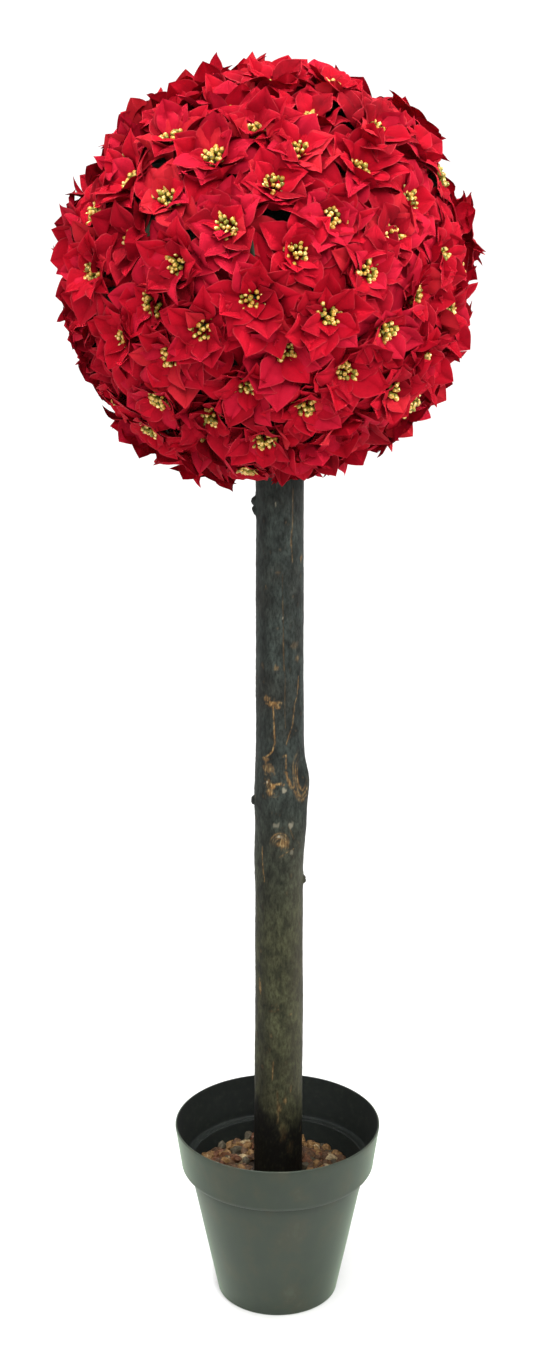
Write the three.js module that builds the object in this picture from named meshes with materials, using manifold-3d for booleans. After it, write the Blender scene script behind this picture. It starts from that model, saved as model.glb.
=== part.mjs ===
// Artificial lollipop topiary: a ball of red poinsettia heads on a natural log, set in a round nursery pot.
// Millimetres, +Z up, front towards -Y. The origin is at the centre of the pot's flat underside.
import * as THREE from "three";
import { mergeVertices } from "three/addons/utils/BufferGeometryUtils.js";
import Module from "manifold-3d";

const wasm = await Module();
wasm.setup();

// ---- Driving dimensions ----
const fitGap = 0.3; // clearance left between pieces that seat on each other

const pot = {
  height: 229,
  rimRadius: 127,
  bandFootRadius: 120, // outside of the rim band, at its lower edge
  bandFootHeight: 170,
  bandCorner: 7, // rounding of the band's lower edge
  neckRadius: 109, // outside of the body just under the band
  footRadius: 75.5,
  footChamfer: 3,
  wall: 2.4,
  ledgeThickness: 4.5, // of the step inside, where the band widens
  floor: 4,
  sides: 48,
};

const fillTop = 146; // top of the cement that holds the log

const gravel = {
  edgeHeight: 155, // top of the layer at the pot's wall
  moundHeight: 167, // and against the log
  stones: 46,
  stoneSize: 13,
  sides: 24,
};

const trunk = {
  footHeight: 20,
  topHeight: 1172,
  footRadius: 30.4,
  topRadius: 26.9,
  lean: 2.6, // sideways run of the axis, from the foot to the ball
  sides: 22,
  ringStep: 33,
};

// Branch collars that swell out of the log. Angles turn from the front (-Y) towards +X.
const collars = [
  { height: 678, angle: 70, swell: 7.0, wide: 44, tall: 27 },
  { height: 628, angle: 78, swell: 3.2, wide: 50, tall: 34 },
  { height: 662, angle: -58, swell: 2.6, wide: 40, tall: 34 },
  { height: 606, angle: 4, swell: 2.6, wide: 40, tall: 26 },
  { height: 645, angle: 172, swell: 3.4, wide: 60, tall: 46 },
  { height: 575, angle: -90, swell: 1.5, wide: 50, tall: 34 },
];

// Stubs of side twigs that were cut off short.
const stubs = [
  { height: 654, angle: -84, radius: 6.6, stands: 4.2 },
  { height: 553, angle: 84, radius: 5.0, stands: 3.6 },
  { height: 1008, angle: -84, radius: 8.5, stands: 5.4 },
  { height: 436, angle: 150, radius: 4.6, stands: 3.4 },
  { height: 872, angle: 196, radius: 5.0, stands: 3.6 },
];

const ball = {
  centre: new THREE.Vector3(-10, 0, 1263),
  reach: 246, // furthest bract tip from the centre
  coreRadius: 180,
  coreDetail: 3,
  headRadius: 199, // from the ball's centre to where a head's bracts meet
  headCount: 144,
  strayAlong: 6, // how far a head strays sideways and in or out
  strayOut: 9,
  tilt: 0.2, // largest tilt of a head, in radians
  swellWidth: 24, // how widely a swell spreads, in degrees
};

// Where the ball is out of round: a way in degrees from +X up, and how far the heads stand out there.
const swells = [
  { way: 48, out: 9 },
  { way: 250, out: 7 },
  { way: -82, out: 9 },
  { way: -32, out: -9 },
];

const head = {
  bracts: 5,
  bractLength: 49,
  bractWidth: 38,
  widestAt: 0.5, // share of a bract's length
  bractThickness: 3,
  lowRise: 12, // lift of a bract's tip above the head's plane, in degrees
  highRise: 44,
  leastShare: 0.55, // a bract that would have to be shorter than this is left out
  overlap: 0.005, // how far bracts reach over the next head's, as a difference of cosines
  budRadius: 9,
  budHeight: 9,
  stalkLength: 46,
};

// ---- Helpers ----
const degrees = THREE.MathUtils.degToRad;
const mix = THREE.MathUtils.lerp;
const zAxis = new THREE.Vector3(0, 0, 1);

// A repeatable share from 0 to 1 for one draw of one numbered thing.
function chance(number, draw) {
  const wave = Math.sin(number * 12.9898 + draw * 78.233) * 43758.5453;
  return wave - Math.floor(wave);
}

function solid(geometry) {
  const bare = geometry.clone();
  bare.deleteAttribute("normal");
  bare.deleteAttribute("uv");
  const merged = mergeVertices(bare, 1e-4);
  return new wasm.Manifold(
    new wasm.Mesh({
      numProp: 3,
      vertProperties: new Float32Array(merged.attributes.position.array),
      triVerts: new Uint32Array(merged.index.array),
    }),
  );
}

// The largest connected piece of a solid, as a geometry.
function geometryOf(made) {
  const largest = made.decompose().sort((a, b) => b.volume() - a.volume())[0];
  const mesh = largest.getMesh();
  const geometry = new THREE.BufferGeometry();
  geometry.setAttribute(
    "position",
    new THREE.BufferAttribute(mesh.vertProperties, 3),
  );
  geometry.setIndex(new THREE.BufferAttribute(mesh.triVerts, 1));
  geometry.computeVertexNormals();
  return geometry;
}

// A body turned about Z from [radius, height] pairs that run up the outside.
function turned(profile, sides) {
  const points = profile.map(([radius, height]) => new THREE.Vector2(radius, height));
  return new THREE.LatheGeometry(points, sides).rotateX(Math.PI / 2);
}

// A closed body through rings that all have the same number of points, with a flat cap at each end.
function lofted(rings) {
  const sides = rings[0].length;
  const last = (rings.length - 1) * sides;
  const index = [];
  for (let ring = 0; ring + 1 < rings.length; ring++)
    for (let side = 0; side < sides; side++) {
      const a = ring * sides + side;
      const b = ring * sides + ((side + 1) % sides);
      index.push(a, b, b + sides, a, b + sides, a + sides);
    }
  for (let side = 1; side + 1 < sides; side++) {
    index.push(0, side + 1, side);
    index.push(last, last + side, last + side + 1);
  }
  const geometry = new THREE.BufferGeometry().setFromPoints(rings.flat());
  geometry.setIndex(index);
  return geometry;
}

function pieceOf(name, geometry, material) {
  const mesh = new THREE.Mesh(geometry, material);
  mesh.name = name;
  return mesh;
}

// ---- Pot ----
const ledgeHeight = pot.bandFootHeight + pot.ledgeThickness;

// Inside radius of the pot's body at a height, below the ledge.
function potInside(height) {
  const share = (height - pot.floor) / (ledgeHeight - pot.floor);
  return mix(pot.footRadius, pot.neckRadius, share) - pot.wall;
}

function makePot() {
  const corner = Array.from({ length: 4 }, (_, step) => {
    const turn = (step / 3) * (Math.PI / 2);
    return [
      pot.bandFootRadius - pot.bandCorner * (1 - Math.sin(turn)),
      pot.bandFootHeight + pot.bandCorner * (1 - Math.cos(turn)),
    ];
  });
  const profile = [
    [0, 0],
    [pot.footRadius - pot.footChamfer, 0],
    [pot.footRadius, pot.footChamfer],
    [pot.neckRadius, pot.bandFootHeight],
    ...corner,
    [pot.rimRadius, pot.height - 2],
    [pot.rimRadius - 0.8, pot.height],
    [pot.rimRadius - pot.wall, pot.height],
    [pot.bandFootRadius - pot.wall, ledgeHeight + pot.bandCorner],
    [pot.bandFootRadius - pot.wall - 4, ledgeHeight],
    [potInside(ledgeHeight), ledgeHeight],
    [potInside(pot.floor), pot.floor],
    [0, pot.floor],
  ];
  return turned(profile, pot.sides);
}

// ---- Log ----
function angleBetween(a, b) {
  return ((((a - b + 180) % 360) + 360) % 360) - 180;
}

function logAxis(height) {
  const share = height / ball.centre.z;
  return new THREE.Vector3(trunk.lean * Math.sin(share * Math.PI * 0.75), 0, height);
}

function logRadius(height, angle) {
  const share = (height - trunk.footHeight) / (trunk.topHeight - trunk.footHeight);
  const swelling = collars.reduce((sum, collar) => {
    const across = angleBetween(angle, collar.angle) / collar.wide;
    const along = (height - collar.height) / collar.tall;
    return sum + collar.swell * Math.exp(-across * across - along * along);
  }, 0);
  return mix(trunk.footRadius, trunk.topRadius, share) + swelling;
}

// A point on the bark. The angle turns from the front (-Y) towards +X.
function onLog(height, angle, proud = 0) {
  const radius = logRadius(height, angle) + proud;
  const turn = degrees(angle);
  return logAxis(height).add(
    new THREE.Vector3(Math.sin(turn) * radius, -Math.cos(turn) * radius, 0),
  );
}

// The log from one height to another, its surface set out by "proud".
function logBetween(low, high, proud = 0) {
  const steps = Math.ceil((high - low) / trunk.ringStep);
  const rings = Array.from({ length: steps + 1 }, (_, step) => {
    const height = mix(low, high, step / steps);
    return Array.from({ length: trunk.sides }, (__, side) =>
      onLog(height, (side / trunk.sides) * 360, proud),
    );
  });
  return lofted(rings);
}

function makeStub({ height, angle, radius, stands }) {
  const root = onLog(height, angle, -radius);
  const tip = onLog(height + stands * 0.4, angle, stands);
  const out = tip.clone().sub(root);
  const stub = new THREE.CylinderGeometry(radius * 0.72, radius * 1.25, out.length(), 7);
  stub.translate(0, out.length() / 2, 0);
  const turn = new THREE.Quaternion().setFromUnitVectors(
    new THREE.Vector3(0, 1, 0),
    out.clone().normalize(),
  );
  return stub.applyQuaternion(turn).translate(root.x, root.y, root.z);
}

function makeTrunk() {
  const bare = solid(logBetween(trunk.footHeight, trunk.topHeight));
  return geometryOf(stubs.reduce((log, stub) => log.add(solid(makeStub(stub))), bare));
}

// What has to stay free of other pieces so that the log seats with its clearance.
function logSocket(low, high) {
  return solid(logBetween(low, high, fitGap));
}

// ---- Cement and gravel ----
function makeFilling() {
  const foot = pot.floor + fitGap;
  const plug = turned(
    [
      [0, foot],
      [potInside(foot) - fitGap, foot],
      [potInside(fillTop) - fitGap, fillTop],
      [0, fillTop],
    ],
    pot.sides,
  );
  const socket = logSocket(trunk.footHeight - fitGap, gravel.edgeHeight);
  return geometryOf(solid(plug).subtract(socket));
}

// Height of the gravel's bed at a distance from the pot's centre. The top stones stand out of it.
function bedHeight(radius) {
  const share = radius / potInside(gravel.edgeHeight);
  return mix(gravel.moundHeight, gravel.edgeHeight, Math.min(1, share)) - gravel.stoneSize / 6;
}

// Where a numbered stone lies: a sunflower spread from the log out to the wall.
function stonePlace(number) {
  const inner = trunk.footRadius + gravel.stoneSize;
  const outer = potInside(gravel.edgeHeight) - gravel.stoneSize;
  const share = (number + 0.5) / gravel.stones;
  const radius = Math.sqrt(mix(inner * inner, outer * outer, share));
  const turn = number * Math.PI * (3 - Math.sqrt(5));
  const lift = 1.5 * chance(number, 1);
  return new THREE.Vector3(radius * Math.cos(turn), radius * Math.sin(turn), bedHeight(radius) + lift);
}

function makeStone(number) {
  const size = gravel.stoneSize * mix(0.6, 1, chance(number, 2));
  const stone = new THREE.OctahedronGeometry(size, 0);
  stone.scale(1, mix(0.55, 0.8, chance(number, 3)), mix(0.45, 0.7, chance(number, 4)));
  stone.rotateX((chance(number, 5) - 0.5) * 0.9);
  stone.rotateZ(chance(number, 6) * Math.PI * 2);
  const place = stonePlace(number);
  return stone.translate(place.x, place.y, place.z);
}

// A bed that mounds up to the log, with stones standing out of its top, kept to the pot's inside.
function makeGravel() {
  const foot = fillTop + fitGap;
  const beyondWall = potInside(gravel.edgeHeight) + gravel.stoneSize / 2;
  const rings = [0.3, 0.65].map((share) => share * beyondWall);
  const bed = turned(
    [
      [0, foot],
      [beyondWall, foot],
      [beyondWall, bedHeight(beyondWall)],
      [rings[1], bedHeight(rings[1])],
      [rings[0], bedHeight(rings[0])],
      [0, bedHeight(rings[0])],
    ],
    gravel.sides,
  );
  const room = turned(
    [
      [0, foot],
      [potInside(foot) - fitGap, foot],
      [potInside(ledgeHeight) - fitGap, ledgeHeight],
      [0, ledgeHeight],
    ],
    pot.sides,
  );
  const stones = Array.from({ length: gravel.stones }, (_, number) => solid(makeStone(number)));
  const heap = wasm.Manifold.union([solid(bed), ...stones]);
  const socket = logSocket(trunk.footHeight, gravel.moundHeight + pot.rimRadius);
  return geometryOf(heap.intersect(solid(room)).subtract(socket));
}

// ---- Flower ball ----
// Which way a numbered head looks out of the ball: a golden-angle spiral from the top to the bottom.
function headDirection(number) {
  const up = 1 - (2 * number + 1) / ball.headCount;
  const turn = number * Math.PI * (3 - Math.sqrt(5));
  const across = Math.sqrt(1 - up * up);
  return new THREE.Vector3(across * Math.cos(turn), across * Math.sin(turn), up);
}

const headOut = Array.from({ length: ball.headCount }, (_, number) => headDirection(number));

// Distance from the ball's centre to a head that looks a way, before it strays.
function headRadiusAt(out) {
  return swells.reduce((radius, swell) => {
    const turn = degrees(swell.way);
    const toward = new THREE.Vector3(Math.cos(turn), 0, Math.sin(turn));
    const apart = THREE.MathUtils.radToDeg(out.angleTo(toward)) / ball.swellWidth;
    return radius + swell.out * Math.exp(-apart * apart);
  }, ball.headRadius);
}

// The frame of a numbered head: its place, its axis as +Z, and its spin.
function headFrame(number) {
  const out = headOut[number];
  const east = new THREE.Vector3().crossVectors(zAxis, out).normalize();
  const north = new THREE.Vector3().crossVectors(out, east);
  const aside = (draw) => (chance(number, draw) - 0.5) * 2;
  const place = out
    .clone()
    .multiplyScalar(headRadiusAt(out) + ball.strayOut * aside(1))
    .addScaledVector(east, ball.strayAlong * aside(2))
    .addScaledVector(north, ball.strayAlong * aside(3))
    .add(ball.centre);
  const axis = out
    .clone()
    .addScaledVector(east, ball.tilt * aside(4))
    .addScaledVector(north, ball.tilt * aside(5))
    .normalize();
  const side = new THREE.Vector3().crossVectors(north, axis).normalize();
  const third = new THREE.Vector3().crossVectors(axis, side);
  const spin = new THREE.Matrix4().makeRotationZ(chance(number, 6) * Math.PI * 2);
  return new THREE.Matrix4().makeBasis(side, third, axis).multiply(spin).setPosition(place);
}

// The turn, length, half width and rise of each of a head's bracts.
function bractPlans(number) {
  const size = mix(0.92, 1.1, chance(number, 7));
  return Array.from({ length: head.bracts }, (_, bract) => {
    const draw = 10 + bract * 4;
    const stray = 0.3 * (chance(number, draw) - 0.5);
    return {
      turn: ((bract + stray) / head.bracts) * Math.PI * 2,
      length: head.bractLength * size * mix(0.9, 1.08, chance(number, draw + 1)),
      half: (head.bractWidth / 2) * size,
      rise: degrees(mix(head.lowRise, head.highRise, chance(number, draw + 2))),
    };
  });
}

// Left, tip, right and rib of a bract, in the ball's frame.
function bractPoints({ turn, length, half, rise }, frame) {
  const along = new THREE.Vector3(
    Math.cos(turn) * Math.cos(rise),
    Math.sin(turn) * Math.cos(rise),
    Math.sin(rise),
  );
  const across = new THREE.Vector3(-Math.sin(turn), Math.cos(turn), 0);
  const up = new THREE.Vector3().crossVectors(along, across);
  const at = (share, aside, above) =>
    new THREE.Vector3()
      .addScaledVector(along, share * length)
      .addScaledVector(across, aside)
      .addScaledVector(up, above)
      .applyMatrix4(frame);
  return {
    left: at(head.widestAt, half, 0),
    tip: at(1, 0, 0),
    right: at(head.widestAt, -half, 0),
    rib: at(head.widestAt, 0, head.bractThickness),
  };
}

// A bract is shortened until it keeps to its own head's part of the ball, within reach and off the log.
// One that would come out too short is left off.
function fittedBract(number, plan, frame) {
  for (let share = 1; share > head.leastShare; share -= 0.05) {
    const points = bractPoints({ ...plan, length: plan.length * share }, frame);
    if (Object.values(points).every((point) => inOwnSpace(point, number))) return points;
  }
  return null;
}

function inOwnSpace(point, number) {
  const out = point.clone().sub(ball.centre);
  if (out.length() > ball.reach) return false;
  const fromLog = point.clone().sub(logAxis(point.z)).setZ(0).length();
  if (out.z < 0 && fromLog < trunk.footRadius + 3) return false;
  out.normalize();
  const own = out.dot(headOut[number]);
  return headOut.every((other, place) => place === number || out.dot(other) < own + head.overlap);
}

// A head as one closed body: a cone of buds, its bracts, and a stalk that runs down into the core.
function makeHead(number) {
  const frame = headFrame(number);
  const plans = bractPlans(number);
  const points = [];
  const faces = [];
  const add = (point) => points.push(point) - 1;
  const at = (x, y, z) => add(new THREE.Vector3(x, y, z).applyMatrix4(frame));
  const ring = (height) =>
    plans.map(({ turn }, place) => {
      const next = plans[(place + 1) % head.bracts].turn + (place + 1 === head.bracts ? Math.PI * 2 : 0);
      const between = (turn + next) / 2;
      return at(head.budRadius * Math.cos(between), head.budRadius * Math.sin(between), height);
    });
  const budTip = at(0, 0, head.budHeight);
  const stalkTip = at(0, 0, -head.stalkLength);
  const upper = ring(head.bractThickness / 2);
  const lower = ring(-head.bractThickness / 2);
  plans.forEach((plan, place) => {
    const before = (place + head.bracts - 1) % head.bracts;
    const [a, b, c, d] = [upper[before], upper[place], lower[before], lower[place]];
    faces.push([a, b, budTip], [d, c, stalkTip]);
    const fitted = fittedBract(number, plan, frame);
    if (!fitted) {
      faces.push([c, d, b], [c, b, a]);
      return;
    }
    const [left, tip, right, rib] = [fitted.left, fitted.tip, fitted.right, fitted.rib].map(add);
    faces.push([a, right, rib], [right, tip, rib], [tip, left, rib], [left, b, rib], [b, a, rib]);
    faces.push([right, c, tip], [tip, c, d], [tip, d, left]);
    faces.push([a, c, right], [b, left, d]);
  });
  const geometry = new THREE.BufferGeometry().setFromPoints(points);
  geometry.setIndex(faces.flat());
  return geometry;
}

// Heads stand all over the ball, except where the log enters it.
function clearOfLog(number) {
  const place = new THREE.Vector3().setFromMatrixPosition(headFrame(number));
  const fromLog = place.sub(logAxis(place.z)).setZ(0).length();
  return headOut[number].z > 0 || fromLog > trunk.footRadius + head.budRadius + 4;
}

function makeFlowerBall() {
  const core = new THREE.IcosahedronGeometry(ball.coreRadius, ball.coreDetail);
  core.translate(ball.centre.x, ball.centre.y, ball.centre.z);
  const heads = headOut.map((_, number) => number).filter(clearOfLog);
  const pieces = [solid(core), ...heads.map((number) => solid(makeHead(number)))];
  const socket = logSocket(ball.centre.z - ball.reach - head.bractLength, trunk.topHeight + fitGap);
  return geometryOf(wasm.Manifold.union(pieces).subtract(socket));
}

// ---- Finishes ----
const finish = (color, roughness) =>
  new THREE.MeshStandardMaterial({ color, roughness, metalness: 0 });
const potPlastic = finish("#525851", 0.62);
const cement = finish("#8a857c", 0.9);
const flint = finish("#7d5f43", 0.8);
const smoothBark = finish("#3d403a", 0.7);
const redCloth = finish("#b5122f", 0.85);

const topiary = new THREE.Group();
topiary.add(
  pieceOf("pot", makePot(), potPlastic),
  pieceOf("pot_filling", makeFilling(), cement),
  pieceOf("gravel", makeGravel(), flint),
  pieceOf("trunk", makeTrunk(), smoothBark),
  pieceOf("flower_ball", makeFlowerBall(), redCloth),
);

export default topiary;
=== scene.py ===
"""A potted artificial poinsettia ball tree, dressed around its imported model.

The script is laid out as an add-on: settings in property groups, one operator for each piece or group
of like pieces, and a panel that lists them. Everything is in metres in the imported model's frame, +Z up
and front towards -Y, except names that end in _mm and the log's tables, which are in millimetres.
"""

import math

import bmesh
import bpy
import numpy as np
from mathutils import Matrix, Vector, noise


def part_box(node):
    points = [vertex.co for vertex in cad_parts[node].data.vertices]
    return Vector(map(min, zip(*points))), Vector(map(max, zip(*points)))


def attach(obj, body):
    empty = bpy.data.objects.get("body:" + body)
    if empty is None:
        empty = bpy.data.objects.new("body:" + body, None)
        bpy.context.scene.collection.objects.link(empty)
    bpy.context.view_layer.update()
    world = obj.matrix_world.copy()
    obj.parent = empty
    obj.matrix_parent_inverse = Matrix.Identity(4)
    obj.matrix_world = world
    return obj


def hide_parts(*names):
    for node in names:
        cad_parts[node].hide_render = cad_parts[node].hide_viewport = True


bl_info = {
    "name": "Poinsettia Ball Tree",
    "version": (1, 0, 0),
    "blender": (4, 5, 0),
    "location": "3D View > Sidebar > Ball Tree",
    "description": "Dresses an artificial poinsettia ball tree on a log in a round pot",
    "category": "Add Mesh",
}

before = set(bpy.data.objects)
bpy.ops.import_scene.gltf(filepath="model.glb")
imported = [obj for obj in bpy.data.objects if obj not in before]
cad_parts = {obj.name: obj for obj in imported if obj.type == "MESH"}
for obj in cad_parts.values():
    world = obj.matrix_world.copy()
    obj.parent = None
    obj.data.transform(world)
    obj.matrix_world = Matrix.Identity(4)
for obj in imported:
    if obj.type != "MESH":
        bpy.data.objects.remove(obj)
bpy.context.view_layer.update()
MM = 0.001
GOLDEN_TURN = math.pi * (3 - math.sqrt(5))

_, POT_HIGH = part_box("pot")
LOG_LOW, LOG_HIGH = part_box("trunk")
_, BED_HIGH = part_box("gravel")


# ------------ Settings ------------


def length_setting(name, description, default):
    return bpy.props.FloatProperty(
        name=name, description=description, default=default, unit="LENGTH", precision=4
    )


def colour_setting(name, description, hex_value):
    default = linear(hex_value)[:3]
    return bpy.props.FloatVectorProperty(
        name=name, description=description, default=default, subtype="COLOR", size=3, min=0.0, max=1.0
    )


def linear(hex_value):
    """An sRGB hex colour as the linear red, green, blue and alpha that a shader takes."""
    shares = [int(hex_value[i : i + 2], 16) / 255 for i in (1, 3, 5)]
    return [s / 12.92 if s <= 0.04045 else ((s + 0.055) / 1.055) ** 2.4 for s in shares] + [1.0]


class PotSettings(bpy.types.PropertyGroup):
    rim_radius: length_setting("Rim radius", "Outside of the rim", POT_HIGH.x)
    height: length_setting("Height", "From the floor to the rim", POT_HIGH.z)
    band_foot_radius: length_setting("Band foot radius", "Outside of the rim band's lower edge", 0.120)
    band_foot_height: length_setting("Band foot height", "Lower edge of the rim band", 0.170)
    band_corner: length_setting("Band corner", "Rounding of the band's lower edge", 0.007)
    neck_radius: length_setting("Neck radius", "Outside of the body under the band", 0.109)
    foot_radius: length_setting("Foot radius", "Outside of the body at the floor", 0.0755)
    foot_chamfer: length_setting("Foot chamfer", "Break of the lower edge", 0.003)
    wall: length_setting("Wall", "Thickness of the wall", 0.0024)
    ledge: length_setting("Ledge", "Thickness of the step inside the band's lower edge", 0.0045)
    floor: length_setting("Floor", "Thickness of the floor", 0.004)


class GravelSettings(bpy.types.PropertyGroup):
    edge_height: length_setting("Edge height", "Top of the gravel at the pot's wall", 0.155)
    mound_height: length_setting("Mound height", "Top of the gravel at the log", 0.167)
    lean: length_setting("Lean", "How much higher the gravel lies at the left wall", 0.005)
    stone_size: length_setting("Stone size", "Length of the largest stones before they are broken", 0.0220)


class LogSettings(bpy.types.PropertyGroup):
    foot_radius: length_setting("Foot radius", "Radius of the log at its foot", 0.0304)
    top_radius: length_setting("Top radius", "Radius of the log inside the ball", 0.0269)
    lean: length_setting("Lean", "Sideways run of the log's axis", 0.0026)
    relief: length_setting("Relief", "Height of the bark's broad unevenness", 0.0009)
    upper_bark: colour_setting("Upper bark", "Greenish slate bark over the knots", "#3c433e")
    lower_bark: colour_setting("Lower bark", "Olive brown bark below the knots", "#484932")


class BallSettings(bpy.types.PropertyGroup):
    centre: bpy.props.FloatVectorProperty(
        name="Centre",
        description="Centre of the ball",
        default=(-0.010, 0.0, 1.263),
        subtype="XYZ",
        unit="LENGTH",
    )
    reach: length_setting("Reach", "Furthest bract tip from the centre", 0.246)
    core_radius: length_setting("Core radius", "Radius of the foam ball", 0.180)
    head_radius: length_setting("Head radius", "From the centre to where a head's bracts meet", 0.199)
    head_count: bpy.props.IntProperty(name="Heads", description="Heads on the whole ball", default=144)
    bract_length: length_setting("Bract length", "Length of a head's main bracts", 0.049)
    bract_width: length_setting("Bract width", "Width of a head's main bracts", 0.033)
    bud_radius: length_setting("Bud cluster radius", "Half the width of a head's cluster of buds", 0.0142)


class StageSettings(bpy.types.PropertyGroup):
    floor_radius: length_setting("Floor radius", "Radius of the pale floor", 30.0)
    eye_height: length_setting("Eye height", "Height of the camera", 1.466)
    distance: length_setting("Distance", "From the log to the camera, along the floor", 2.299)
    look_down: bpy.props.FloatProperty(
        name="Look down",
        description="Tilt of the camera below the horizon",
        default=math.radians(16.22),
        subtype="ANGLE",
    )


# ------------ Nodes, meshes and pieces ------------


def add_node(tree, kind, inputs=None, stops=(), **settings):
    """Adds a node with its settings. Its inputs are filled by name or number with a value, another node's
    output, or another node, for its first output. A ramp's stops are rows of (position, sRGB hex)."""
    node = tree.nodes.new(kind)
    for name, value in settings.items():
        setattr(node, name, value)
    for key, value in (inputs or {}).items():
        if isinstance(value, bpy.types.Node):
            value = value.outputs[0]
        if isinstance(value, bpy.types.NodeSocket):
            tree.links.new(value, node.inputs[key])
        else:
            node.inputs[key].default_value = value
    if stops:
        (low, low_hex), *between, (high, high_hex) = stops
        marks = node.color_ramp.elements
        marks[0].position, marks[1].position = low, high
        marks[0].color, marks[1].color = linear(low_hex), linear(high_hex)
        for position, hex_value in between:
            marks.new(position).color = linear(hex_value)
    return node


def in_scene(name, data):
    """An object in the scene for a mesh, a light or the camera."""
    item = bpy.data.objects.new(name, data)
    bpy.context.scene.collection.objects.link(item)
    return item


def smooth_mesh(name, points, faces):
    mesh = bpy.data.meshes.new(name)
    mesh.from_pydata([tuple(p) for p in points], [], faces)
    mesh.polygons.foreach_set("use_smooth", [True] * len(mesh.polygons))
    mesh.update()
    return mesh


def mesh_piece(name, points, faces, material):
    """A mesh object in the scene, with its place in its mesh."""
    mesh = smooth_mesh(name, points, faces)
    mesh.materials.append(material)
    return in_scene(name, mesh)


def shaped_ball(name, subdivisions, radius, place_of):
    """The mesh of a ball whose points are moved to where place_of puts them."""
    body = bmesh.new()
    bmesh.ops.create_icosphere(body, subdivisions=subdivisions, radius=radius)
    for vertex in body.verts:
        vertex.co = place_of(vertex.co)
    mesh = bpy.data.meshes.new(name)
    body.to_mesh(mesh)
    body.free()
    return mesh


def grid_faces(rings, sides, first=0, outwards=False):
    """Quads between rings of points that close on themselves, for rings that run up the outside of a
    body, or outwards over its top."""
    faces = []
    for a in range(first, first + (rings - 1) * sides):
        b = a + 1 if (a + 1 - first) % sides else a + 1 - sides
        faces.append((a, a + sides, b + sides, b) if outwards else (a, b, b + sides, a + sides))
    return faces


def dress(piece, slot, *nodes):
    """The piece rides on the plant's one body and stands for CAD nodes, which it hides. The slot is not used.
    """
    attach(piece, "root")
    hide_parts(*nodes)


def stand_copies(name, points, templates, main, accent):
    """Copies of the templates on points with the attributes turn, size and kind, as one plain mesh.

    The points are rows of (place, turn, size, kind): a Vector, a Quaternion, a Vector and a number.
    """
    places, turns, sizes, kinds = zip(*points)
    cloud = bpy.data.meshes.new(name + "_points")
    cloud.from_pydata([tuple(place) for place in places], [], [])
    for label, form, field, values in (
        ("turn", "QUATERNION", "value", [x for turn in turns for x in turn]),
        ("size", "FLOAT_VECTOR", "vector", [x for size in sizes for x in size]),
        ("kind", "INT", "value", kinds),
    ):
        cloud.attributes.new(label, form, "POINT").data.foreach_set(field, values)
    inputs = {"Templates": templates, "Main finish": main, "Accent finish": accent, "Size": 1.0}
    return settle(name, in_scene(cloud.name, cloud), copies_tree(), inputs)


def settle(name, holder, tree, inputs):
    """Runs a tree on the holder and keeps its result as a plain mesh object."""
    modifier = holder.modifiers.new("copies", "NODES")
    modifier.node_group = tree
    for item in tree.interface.items_tree:
        if item.in_out == "INPUT" and item.name in inputs:
            modifier[item.identifier] = inputs[item.name]
    graph = bpy.context.evaluated_depsgraph_get()
    mesh = bpy.data.meshes.new_from_object(
        holder.evaluated_get(graph), preserve_all_data_layers=True, depsgraph=graph
    )
    holder.modifiers.remove(modifier)
    bpy.data.objects.remove(holder)
    mesh.name = name
    return in_scene(name, mesh)


def new_tree(name, *inputs):
    """A geometry tree with its own inputs and the ones that every tree of copies has. Returns it with the
    outputs of its input node."""
    shared = ("Templates", "Collection"), ("Size", "Float")
    finishes = ("Main finish", "Material"), ("Accent finish", "Material")
    tree = bpy.data.node_groups.new(name, "GeometryNodeTree")
    for label, kind in (*inputs, *shared, *finishes):
        tree.interface.new_socket(label, in_out="INPUT", socket_type="NodeSocket" + kind)
    tree.interface.new_socket("Copies", in_out="OUTPUT", socket_type="NodeSocketGeometry")
    return tree, add_node(tree, "NodeGroupInput").outputs


def place_copies(tree, given, points, turn, stretch, **picked):
    """Ends a tree: a template on each point, turned and stretched, made real and given the main finish,
    with the accent finish on faces marked accent."""
    scale = add_node(tree, "ShaderNodeVectorMath", {0: stretch, "Scale": given["Size"]}, operation="SCALE")
    shapes = add_node(
        tree,
        "GeometryNodeCollectionInfo",
        {"Collection": given["Templates"], "Separate Children": True, "Reset Children": True},
    )
    standing = {"Points": points, "Instance": shapes, "Pick Instance": True, "Rotation": turn, "Scale": scale}
    copies = add_node(tree, "GeometryNodeInstanceOnPoints", {**standing, **picked})
    whole = add_node(tree, "GeometryNodeRealizeInstances", {"Geometry": copies})
    dressed = {"Geometry": whole, "Material": given["Main finish"]}
    main = add_node(tree, "GeometryNodeSetMaterial", dressed)
    marked = add_node(tree, "GeometryNodeInputNamedAttribute", {"Name": "accent"}, data_type="BOOLEAN")
    edged = {"Geometry": main, "Selection": marked, "Material": given["Accent finish"]}
    add_node(tree, "NodeGroupOutput", {0: add_node(tree, "GeometryNodeSetMaterial", edged)})
    return tree


def copies_tree():
    """The tree that stands a template on each point. It is built once and used for every kind of copy."""
    name = "Stand copies on points"
    if name in bpy.data.node_groups:
        return bpy.data.node_groups[name]
    tree, given = new_tree(name, ("Points", "Geometry"))
    turn, stretch, kind = (
        add_node(tree, "GeometryNodeInputNamedAttribute", {"Name": label}, data_type=form)
        for label, form in (("turn", "QUATERNION"), ("size", "FLOAT_VECTOR"), ("kind", "INT"))
    )
    return place_copies(tree, given, given["Points"], turn, stretch, **{"Instance Index": kind})


def template_collection(name, meshes):
    """A collection of templates, in the order in which a tree numbers them."""
    collection = bpy.data.collections.new(name)
    for number, mesh in enumerate(meshes):
        collection.objects.link(bpy.data.objects.new(f"{name}_{number:02d}", mesh))
    return collection


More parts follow.
